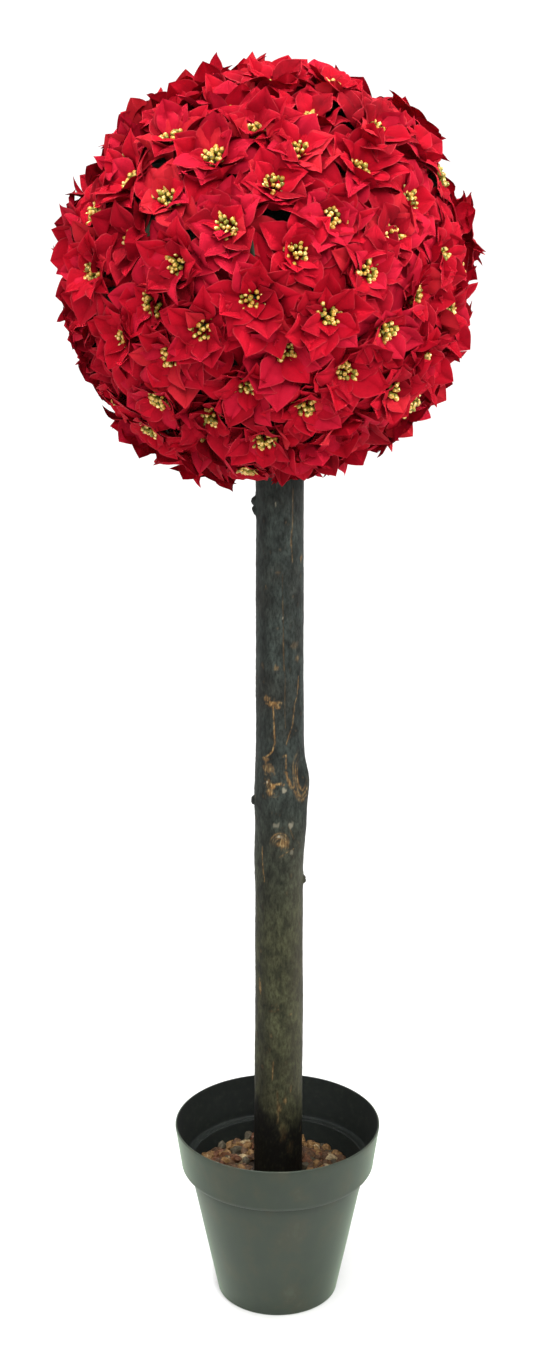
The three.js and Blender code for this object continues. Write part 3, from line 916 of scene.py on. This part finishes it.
class TOPIARY_OT_log(bpy.types.Operator):
    """Makes the log with the relief of its bark, knots, stubs and cracks."""

    bl_idname = "topiary.log"
    bl_label = "Log"
    front_sides = 130
    back_sides = 50
    cut_rings = 3
    # The cut ends are plain, and the relief sets in over this many millimetres from them.
    plain_end_mm = 12
    # The spacing of the rings in millimetres, each up to a height: close at the knots, wide where
    # the gravel or the ball hides the bark.
    ring_steps = ((150, 5.0), (545, 2.4), (800, 1.4), (1045, 2.4), (LOG_HIGH.z / MM, 8.0))

    def grid(self):
        """Heights in millimetres and angles in degrees of the log's points."""
        heights = [np.array([LOG_LOW.z / MM])]
        for end, step in self.ring_steps:
            start = heights[-1][-1]
            heights.append(np.linspace(start, end, max(2, round((end - start) / step)))[1:])
        front = np.linspace(-90, 90, self.front_sides, endpoint=False)
        back = np.linspace(90, 270, self.back_sides, endpoint=False)
        return np.meshgrid(np.concatenate(heights), np.concatenate([front, back]), indexing="ij")

    def execute(self, context):
        log = context.scene.topiary_log
        height, angle = self.grid()
        rings, sides = height.shape
        relief, *shares = bark_relief(log, height, angle)
        from_end = np.minimum(height - LOG_LOW.z / MM, LOG_HIGH.z / MM - height)
        relief = relief * smooth_share(from_end, 0, self.plain_end_mm)
        radius = (log_radius_mm(log, height, angle) + relief) * MM
        turn = np.radians(angle)
        axis = log_axis_mm(log, height) * MM
        places = np.stack([np.sin(turn) * radius + axis, -np.cos(turn) * radius, height * MM], axis=-1)
        points = [tuple(p) for p in places.reshape(-1, 3)]
        faces = grid_faces(rings, sides)
        self.add_cut(points, faces, range(sides), -1)
        self.add_cut(points, faces, range(height.size - sides, height.size), 1)
        piece = mesh_piece("log_with_bark", points, faces, smooth_bark(log))
        extra = np.zeros(len(points) - height.size)
        for name, share in zip(("bare_wood", "pale_scar", "dark_stain"), shares):
            layer = piece.data.attributes.new(name, "FLOAT", "POINT")
            layer.data.foreach_set("value", np.concatenate([share.ravel(), extra]).astype(np.float32))
        dress(piece, "log_bark", "trunk")
        return {"FINISHED"}

    def add_cut(self, points, faces, outer, order):
        """Closes one end of the log with rings of faces that draw in to its middle. An order of -1 turns
        the faces downwards."""
        sides = len(outer)
        edge = [Vector(points[number]) for number in outer]
        middle = sum(edge, Vector()) / sides
        for ring in range(1, self.cut_rings + 1):
            share = 1 - ring / (self.cut_rings + 1)
            inner = range(len(points), len(points) + sides)
            points += [tuple(middle.lerp(p, share)) for p in edge]
            for side in range(sides):
                after = (side + 1) % sides
                faces.append((outer[side], outer[after], inner[after], inner[side])[::order])
            outer = inner
        faces += [(outer[side], outer[(side + 1) % sides], len(points))[::order] for side in range(sides)]
        points.append(tuple(middle))


# ------------ Flower ball ------------

# How far a head strays sideways and in or out, how far its axis tilts, and its stalk's length.
HEAD_STRAY = 0.006
HEAD_STRAY_OUT = 0.009
HEAD_TILT = 0.2
STALK_LENGTH = 0.046
# How far short of the ball's reach a head's bracts may stay.
HEAD_SHYNESS = 0.028
# The room that heads and bracts leave round the log, from its radius at the foot.
HEAD_CLEARANCE = 0.013
BRACT_CLEARANCE = 0.002
# Where the ball is out of round: a way in degrees from +X up, and how far the heads stand out there.
SWELLS = ((48, 0.009), (250, 0.007), (-82, 0.009), (-32, -0.009))
SWELL_WIDTH = 24


def head_direction(ball, number):
    """Which way a numbered head looks: a golden-angle spiral from the top to the bottom."""
    return direction(1 - (2 * number + 1) / ball.head_count, number * GOLDEN_TURN)


def head_radius(ball, out):
    """Distance from the ball's centre to a head that looks a way, before it strays."""
    radius = ball.head_radius
    for way, swell in SWELLS:
        toward = Vector((math.cos(math.radians(way)), 0, math.sin(math.radians(way))))
        apart = math.degrees(out.angle(toward)) / SWELL_WIDTH
        radius += swell * math.exp(-apart * apart)
    return radius


def head_frame(ball, number):
    """The place of a head and its turn, with its axis as +Z."""
    out = head_direction(ball, number)
    east = Vector((0, 0, 1)).cross(out).normalized()
    north = out.cross(east)
    aside = [(chance(number, draw) - 0.5) * 2 for draw in range(6)]
    place = out * (head_radius(ball, out) + HEAD_STRAY_OUT * aside[1])
    place += east * HEAD_STRAY * aside[2] + north * HEAD_STRAY * aside[3] + Vector(ball.centre)
    axis = (out + east * HEAD_TILT * aside[4] + north * HEAD_TILT * aside[5]).normalized()
    side = north.cross(axis).normalized()
    turn = Matrix((side, axis.cross(side), axis)).transposed()
    return place, turn @ Matrix.Rotation(chance(number, 6) * math.tau, 3, "Z")


def log_distance(place):
    """From the log's axis to a place."""
    log = bpy.context.scene.topiary_log
    middle = Vector((float(log_axis_mm(log, place.z / MM)) * MM, 0))
    return (place.xy - middle).length


def heads(ball):
    """Rows of (number, place, turn) for the heads, except where the log enters the ball."""
    free = bpy.context.scene.topiary_log.foot_radius + HEAD_CLEARANCE
    rows = [(number, *head_frame(ball, number)) for number in range(ball.head_count)]
    return [row for row in rows if head_direction(ball, row[0]).z > 0 or log_distance(row[1]) > free]


# Half width of a bract along its length, as shares of its full width: a narrow neck, a full middle and
# a drawn-out tip. Some cuts have a broad shoulder, and some a small tooth on each side.
OUTLINE_PLACES = (0, 0.1, 0.25, 0.4, 0.5, 0.58, 0.68, 0.82, 0.93, 1)
OVATE = (0.12, 0.36, 0.80, 1.0, 1.0, 0.93, 0.76, 0.42, 0.16, 0)
BROAD = (0.14, 0.48, 0.93, 1.03, 1.0, 0.94, 0.77, 0.44, 0.17, 0)
SLIM = (0.12, 0.30, 0.62, 0.83, 0.84, 0.79, 0.64, 0.36, 0.14, 0)
TOOTHED = (0.12, 0.36, 0.73, 0.93, 1.12, 0.86, 0.70, 0.40, 0.15, 0)
# The cuts and how each is pressed: outline, arch of the middle, fold of the sides, swell of each half
# between rib and edge, ruffle of the edge, droop of the tip, twist in degrees and sideways lean.
BRACT_CUTS = (
    (OVATE, 0.05, 0.20, 0.040, 0.020, 0.05, 4, 0.02),
    (BROAD, 0.09, 0.08, 0.055, 0.030, 0.10, -7, -0.03),
    (OVATE, 0.02, 0.30, 0.030, 0.020, -0.03, 9, 0.04),
    (TOOTHED, 0.08, 0.14, 0.045, 0.030, 0.08, 5, 0.02),
    (BROAD, -0.03, 0.22, 0.040, 0.030, -0.05, -10, -0.02),
    (SLIM, 0.10, 0.16, 0.040, 0.045, 0.16, 12, -0.06),
    (OVATE, 0.11, -0.14, 0.050, 0.030, 0.12, -5, 0.05),
    (TOOTHED, 0.03, 0.26, 0.045, 0.025, 0.0, -12, -0.04),
)
BRACT_ROWS = 11
RIB = 0.11
BRACT_COLUMNS = (-1.0, -0.94, -0.56, -RIB, 0.0, RIB, 0.56, 0.94, 1.0)
# The length and width in millimetres at which the weave is laid over a bract.
CLOTH_MM = (49, 33)


def bract_mesh(number, cut):
    """One bract, a unit long from the origin along +X and a unit wide, face up."""
    outline, arch, fold, swell, ruffle, droop, twist, lean = cut
    points, flat, faces, accent = [], [], [], []
    columns = len(BRACT_COLUMNS)
    for row in range(BRACT_ROWS + 1):
        along = row / BRACT_ROWS
        half = float(np.interp(along, OUTLINE_PLACES, outline)) / 2
        turn = math.radians(twist) * along * along
        vein = 0.007 * (1 if row % 2 else -1) * min(1, 4 * (1 - along))
        for column in BRACT_COLUMNS:
            aside = abs(column)
            across = column * half
            forward = 0.34 * aside * along * (1 - along)
            wave = math.sin(math.tau * (1.6 * along + 0.37 * number) + 1.9 * column)
            height = arch * 4 * along * (1 - along) - droop * along**3 + fold * abs(across)
            height -= 0.011 * max(0, 1 - aside / RIB) * min(1, 3 * (1 - along))
            height += swell * math.sin(math.pi * min(1, aside)) * min(1, 3 * half)
            height += vein * aside * (1 - aside**4)
            height += ruffle * wave * aside**2 * math.sin(math.pi * along) ** 0.5
            side = across * math.cos(turn) + lean * along * along
            points.append((along + forward, side, height + across * math.sin(turn)))
            flat.append((along * CLOTH_MM[0], across * CLOTH_MM[1]))
    for row in range(BRACT_ROWS):
        for column in range(columns - 1):
            a = row * columns + column
            faces.append((a, a + columns, a + columns + 1, a + 1))
            accent.append(column in (0, columns - 2) and row > 3)
    return template_mesh(f"bract_{number}", points, faces, accent, flat_places=flat)


def bract_cuts(name):
    """A collection with one template of each cut."""
    return template_collection(name, [bract_mesh(number, cut) for number, cut in enumerate(BRACT_CUTS)])


# A head's tiers of bracts: how many, the shares of the main bracts' length and width, the lowest and
# highest rise in degrees, the distance from the head's axis and height over its middle where they start,
# the turn against the main tier in bracts, the stray of that turn, and the largest roll to a side in
# degrees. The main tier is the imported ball's, and the last one curls up between the heads.
TIERS = (
    (5, 1.0, 1.0, 12, 44, 0.003, 0.0, 0.0, 0.3, 12),
    (4, 1.2, 1.12, -6, 14, 0.003, -0.004, 0.5, 0.9, 16),
    (5, 0.86, 0.92, 24, 54, 0.004, 0.0012, 0.5, 0.7, 18),
    (3, 0.58, 0.66, 26, 56, 0.003, 0.0030, 0.2, 0.9, 20),
    (5, 1.0, 1.1, 50, 84, 0.021, -0.006, 0.1, 0.9, 26),
)
# The dyes, each with its colour, a darker tone of it that the cloth's clouds mix in, and its share of the
# bracts.
DYES = (
    ("poinsettia_red", "#9d071b", "#870616", 0.24),
    ("bright_red", "#a2091e", "#8c0719", 0.24),
    ("crimson", "#93071b", "#7b0515", 0.20),
    ("deep_crimson", "#830515", "#660410", 0.12),
    ("rose_red", "#a51128", "#910a20", 0.14),
    ("scarlet", "#aa1c27", "#98121e", 0.06),
)


def pick_dye(share):
    """The number of the dye that a share from 0 to 1 falls on."""
    for number, (_, _, _, part) in enumerate(DYES):
        if share < part:
            return number
        share -= part
    return 0


def bract_places(ball):
    """Rows of (place, turn, size, kind) for each dye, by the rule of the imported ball, with further tiers
    over and under its own. A bract that would reach too far or touch the log is cut shorter or left out."""
    rows = [[] for _ in DYES]
    for number, place, turn in heads(ball):
        size = mix(0.92, 1.1, chance(number, 7))
        reach = ball.reach - HEAD_SHYNESS * chance(number, 9) ** 2
        for tier, plan in enumerate(TIERS):
            count, long_share, wide_share, low, high, gap, neck, offset, stray, roll = plan
            for bract in range(count):
                draw = (10 if tier == 0 else 60 + 40 * tier) + bract * 4
                own = [chance(number, 500 + 20 * tier + 3 * bract + extra) for extra in range(5)]
                strayed = stray * (chance(number, draw) - 0.5)
                spin = (bract + offset + strayed) / count * math.tau
                length = ball.bract_length * size * long_share * mix(0.88, 1.1, chance(number, draw + 1))
                rise = math.radians(mix(low, high, chance(number, draw + 2)))
                rolled = Matrix.Rotation(math.radians(roll * (2 * own[0] - 1)), 3, "X")
                basis = turn @ raised_basis(spin, rise) @ rolled
                root = place + turn @ Vector((gap * math.cos(spin), gap * math.sin(spin), neck))
                shown = fitted_share(ball, reach, root, basis.col[0], length)
                width = ball.bract_width * size * wide_share * mix(0.88, 1.14, own[1])
                scale = Vector((length * shown, width, length * shown))
                dye = pick_dye(chance(number, 8) if own[3] < 0.4 else own[4])
                if shown:
                    rows[dye].append((root, basis.to_quaternion(), scale, int(own[2] * len(BRACT_CUTS))))
    return rows


def raised_basis(spin, rise):
    """The turn of a bract or leaf that points out of its head at a spin and rises by an angle."""
    flat = Vector((math.cos(spin), math.sin(spin), 0))
    along = flat * math.cos(rise) + Vector((0, 0, math.sin(rise)))
    across = Vector((-math.sin(spin), math.cos(spin), 0))
    return Matrix((along, across, along.cross(across))).transposed()


def fitted_share(ball, reach, root, along, length):
    """The share of its length that a bract keeps so as to stay in reach and off the log, or 0."""
    free = bpy.context.scene.topiary_log.foot_radius + BRACT_CLEARANCE
    for step in range(10):
        share = 1 - 0.05 * step
        tip = root + along * length * share
        middle = root + along * length * share * 0.5
        inside = (tip - Vector(ball.centre)).length <= reach
        if inside and (root.z > ball.centre[2] or min(log_distance(tip), log_distance(middle)) > free):
            return share
    return 0


def bud_mesh(name, gilded):
    """A bud on its stem, standing along +Z with its cup's edge at the origin, in millimetres. A gilded
    one is gold above its cup, and a green one stays olive."""
    profile = ((0.6, -7.0), (0.9, -2.2), (2.45, -0.1), (2.1, 1.6), (1.25, 2.7))
    sides, top, olive_rings = 5, 3.15, 3
    points = turned_points(profile, sides) + [(0, 0, top)]
    faces = grid_faces(len(profile), sides)
    last = (len(profile) - 1) * sides
    faces += [(last + side, last + (side + 1) % sides, len(points) - 1) for side in range(sides)]
    accent = [not gilded or face < olive_rings * sides for face in range(len(faces))]
    return template_mesh(name, points, [*faces, tuple(reversed(range(sides)))], [*accent, True])


# The dome of a head's buds: the height of its middle over the head's, how much lower its edge is, how far
# a bud strays sideways and up, and how fast the buds lean out from the middle, per metre.
BUD_DOME = 0.0140
BUD_FALL = 0.0055
BUD_STRAY = 0.003
BUD_STRAY_UP = 0.0035
BUD_LEAN = 42
# How far under a head its green leaves start, and how wide they are.
LEAF_DROP = 0.011
LEAF_WIDTH = 0.024


def bud_places(ball):
    """Rows for the buds: a loose dome of them over the middle of each head, drawn out to one side."""
    rows = []
    for number, place, turn in heads(ball):
        count = 21 + int(7 * chance(number, 200))
        stretch = mix(0.85, 1.3, chance(number, 201))
        swing = Matrix.Rotation(math.tau * chance(number, 202), 3, "Z")
        for bud in range(count):
            own = [chance(number, 210 + bud * 6 + draw) for draw in range(6)]
            share = math.sqrt((bud + 0.35) / count)
            radius = ball.bud_radius * share
            spin = bud * GOLDEN_TURN + 0.9 * (own[0] - 0.5)
            x = radius * math.cos(spin) * stretch + BUD_STRAY * (own[1] - 0.5)
            y = radius * math.sin(spin) / stretch + BUD_STRAY * (own[2] - 0.5)
            flat = swing @ Vector((x, y, 0))
            height = BUD_DOME - BUD_FALL * share * share + BUD_STRAY_UP * (own[3] - 0.5)
            lean = Vector((flat.x * BUD_LEAN, flat.y * BUD_LEAN, 1)).normalized()
            bud_turn = turn.to_quaternion() @ Vector((0, 0, 1)).rotation_difference(lean)
            green = own[5] < 0.2
            size = MM * mix(1.0, 1.42, own[4]) * (0.85 if green else 1)
            scale = Vector((size, size, size * mix(0.9, 1.3, own[0])))
            rows.append((place + turn @ Vector((flat.x, flat.y, height)), bud_turn, scale, int(green)))
    return rows


def leaf_places(ball):
    """Rows for the green leaves, two or three under each head and lower than its bracts."""
    rows = []
    for number, place, turn in heads(ball):
        root = place + turn @ Vector((0, 0, -LEAF_DROP))
        for leaf in range(2 + int(2 * chance(number, 400))):
            draw = 410 + leaf * 4
            spin = (leaf + 0.5 * chance(number, draw)) / 3 * math.tau
            rise = math.radians(mix(-4, 14, chance(number, draw + 1)))
            basis = turn @ raised_basis(spin, rise)
            length = mix(0.036, 0.046, chance(number, draw + 2))
            shown = fitted_share(ball, ball.reach, root, basis.col[0], length)
            scale = Vector((length * shown, LEAF_WIDTH, length * shown))
            kind = int(chance(number, draw + 3) * len(BRACT_CUTS))
            if shown:
                rows.append((root, basis.to_quaternion(), scale, kind))
    return rows


def stalk_mesh():
    """A wire stalk with a swollen top, standing along +Z from a stalk's length under the origin."""
    profile = ((0.55, -1.0), (0.5, -0.4), (0.55, -0.16), (1.15, -0.05), (1.25, 0.05), (0.6, 0.14))
    wire_mm, sides = 2.6, 8
    rows = [(radius * wire_mm * MM, height * STALK_LENGTH) for radius, height in profile]
    points = turned_points(rows, sides)
    faces = grid_faces(len(profile), sides) + end_caps(points, sides)
    return template_mesh("stalk", points, faces, [False] * len(faces))


class TOPIARY_OT_foam(bpy.types.Operator):
    """Makes the foam ball that the heads are pushed into."""

    bl_idname = "topiary.foam"
    bl_label = "Foam ball"

    def execute(self, context):
        ball = context.scene.topiary_ball

        def pitted(place):
            lump = noise.noise(place / 0.03) + 0.5 * noise.noise(place / 0.009)
            return place * (1 + 0.006 * lump) + Vector(ball.centre)

        mesh = shaped_ball("foam_ball", 6, ball.core_radius, pitted)
        mesh.polygons.foreach_set("use_smooth", [True] * len(mesh.polygons))
        mesh.materials.append(moss_foam())
        dress(in_scene("foam_ball", mesh), "flower_cloth", "flower_ball")
        return {"FINISHED"}


class TOPIARY_OT_bracts(bpy.types.Operator):
    """Makes the red bracts of all heads, one piece for each dye."""

    bl_idname = "topiary.bracts"
    bl_label = "Bracts"

    def execute(self, context):
        # The accent finish on the bracts' edges is partly a painted highlight.
        templates, edge = bract_cuts("bract_cuts"), cut_edge_and_highlight()
        for (name, hex_value, shade_hex, _), rows in zip(DYES, bract_places(context.scene.topiary_ball)):
            cloth = pressed_cloth(name.replace("_", " ").capitalize() + " cloth", hex_value, shade_hex)
            piece = stand_copies("bracts_" + name, rows, templates, cloth, edge)
            dress(piece, "flower_cloth", "flower_ball")
        return {"FINISHED"}


class TOPIARY_OT_buds(bpy.types.Operator):
    """Makes the clusters of gold and olive buds."""

    bl_idname = "topiary.buds"
    bl_label = "Bud clusters"

    def execute(self, context):
        rows = bud_places(context.scene.topiary_ball)
        templates = template_collection("bud", [bud_mesh("gilded_bud", True), bud_mesh("green_bud", False)])
        piece = stand_copies("bud_clusters", rows, templates, gilded_bud(), olive_calyx())
        dress(piece, "flower_cloth", "flower_ball")
        return {"FINISHED"}


class TOPIARY_OT_greens(bpy.types.Operator):
    """Makes the stalks of the heads and the green leaves under them."""

    bl_idname = "topiary.greens"
    bl_label = "Stalks and leaves"

    def execute(self, context):
        ball = context.scene.topiary_ball
        green = leaf_cloth()
        stalks = [(place, turn.to_quaternion(), Vector((1, 1, 1)), 0) for _, place, turn in heads(ball)]
        for name, rows, templates in (
            ("green_leaves", leaf_places(ball), bract_cuts("leaf_cuts")),
            ("head_stalks", stalks, template_collection("stalk", [stalk_mesh()])),
        ):
            dress(stand_copies(name, rows, templates, green, green), "flower_cloth", "flower_ball")
        return {"FINISHED"}


# ------------ Stage ------------


class TOPIARY_OT_stage(bpy.types.Operator):
    """Makes the pale floor, the soft light and the camera."""

    bl_idname = "topiary.stage"
    bl_label = "Stage"
    # Soft boxes: name, place, height that they face, width, height, spread in degrees and watts. The two
    # with a narrow spread have a grid and light the ball alone.
    boxes = (
        ("key_box", (0.5, -2.8, 3.1), 0.95, 1.5, 1.5, 180, 73),
        ("fill_box", (-2.6, -1.6, 1.6), 0.95, 1.4, 2.2, 180, 7),
        ("ball_side_box", (1.7, -0.1, 2.0), 1.3, 0.8, 0.8, 16, 2.0),
        ("ball_top_box", (-0.45, -0.1, 3.1), 1.35, 0.8, 0.8, 16, 2.6),
    )
    # The light off the ceiling: strength, how wide it is seen in degrees, and its slant in degrees.
    ceiling = (1.15, 90, (30, 18, 0))
    room_strength = 1.12
    # The camera's stand to the left of the log, its sensor, and its lens as a share of the frame's height.
    camera_left = 0.0018
    sensor_mm = 36
    lens_share = 2048 / 1366

    def execute(self, context):
        stage = context.scene.topiary_stage
        scene = context.scene
        self.add_floor(stage)
        for name, place, faced, width, height, spread, watts in self.boxes:
            light = bpy.data.lights.new(name, "AREA")
            light.shape, light.size, light.size_y = "RECTANGLE", width, height
            light.spread, light.energy = math.radians(spread), watts
            lamp = in_scene(name, light)
            lamp.location = place
            aim = Vector((0, 0, faced)) - Vector(place)
            lamp.rotation_euler = aim.to_track_quat("-Z", "Y").to_euler()
        strength, wide, slant = self.ceiling
        sun = bpy.data.lights.new("ceiling_bounce", "SUN")
        sun.energy, sun.angle = strength, math.radians(wide)
        in_scene("ceiling_bounce", sun).rotation_euler = [math.radians(turn) for turn in slant]
        scene.world = bpy.data.worlds.new("White room")
        scene.world.use_nodes = True
        room = scene.world.node_tree.nodes["Background"].inputs
        room["Color"].default_value = (1, 1, 1, 1)
        room["Strength"].default_value = self.room_strength
        scene.view_settings.view_transform = "Standard"
        self.add_camera(stage)
        return {"FINISHED"}

    def add_floor(self, stage):
        sides, rings = 96, 10
        radii = [stage.floor_radius * (ring / rings) ** 3 for ring in range(1, rings + 1)]
        points = [(0, 0, 0), *turned_points([(radius, 0) for radius in radii], sides)]
        faces = [(0, 1 + side, 1 + (side + 1) % sides) for side in range(sides)]
        faces += grid_faces(rings, sides, first=1, outwards=True)
        mesh_piece("floor", points, faces, painted_floor())

    def add_camera(self, stage):
        lens = bpy.data.cameras.new("camera")
        lens.sensor_width, lens.lens, lens.clip_end = self.sensor_mm, self.sensor_mm * self.lens_share, 100
        camera = in_scene("camera", lens)
        camera.location = (-self.camera_left, -stage.distance, stage.eye_height)
        camera.rotation_euler = (math.pi / 2 - stage.look_down, 0, 0)
        bpy.context.scene.camera = camera


# ------------ Add-on ------------

PIECE_OPERATORS = (
    TOPIARY_OT_pot,
    TOPIARY_OT_cement,
    TOPIARY_OT_gravel,
    TOPIARY_OT_log,
    TOPIARY_OT_foam,
    TOPIARY_OT_greens,
    TOPIARY_OT_bracts,
    TOPIARY_OT_buds,
    TOPIARY_OT_stage,
)
SETTINGS = {
    "topiary_pot": PotSettings,
    "topiary_gravel": GravelSettings,
    "topiary_log": LogSettings,
    "topiary_ball": BallSettings,
    "topiary_stage": StageSettings,
}


class TOPIARY_PT_pieces(bpy.types.Panel):
    """Lists the plant's pieces."""

    bl_idname = "TOPIARY_PT_pieces"
    bl_label = "Poinsettia Ball Tree"
    bl_space_type = "VIEW_3D"
    bl_region_type = "UI"
    bl_category = "Ball Tree"

    def draw(self, context):
        for operator in PIECE_OPERATORS:
            self.layout.operator(operator.bl_idname)
        for name, group in SETTINGS.items():
            box = self.layout.box()
            for setting in group.__annotations__:
                box.prop(getattr(context.scene, name), setting)


def register():
    for name, group in SETTINGS.items():
        bpy.utils.register_class(group)
        setattr(bpy.types.Scene, name, bpy.props.PointerProperty(type=group))
    for cls in (*PIECE_OPERATORS, TOPIARY_PT_pieces):
        bpy.utils.register_class(cls)


def unregister():
    for cls in reversed((*PIECE_OPERATORS, TOPIARY_PT_pieces)):
        bpy.utils.unregister_class(cls)
    for name, group in reversed(list(SETTINGS.items())):
        delattr(bpy.types.Scene, name)
        bpy.utils.unregister_class(group)


def main():
    register()
    for operator in PIECE_OPERATORS:
        family, name = operator.bl_idname.split(".")
        getattr(getattr(bpy.ops, family), name)()
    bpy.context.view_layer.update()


if __name__ == "__main__":
    main()
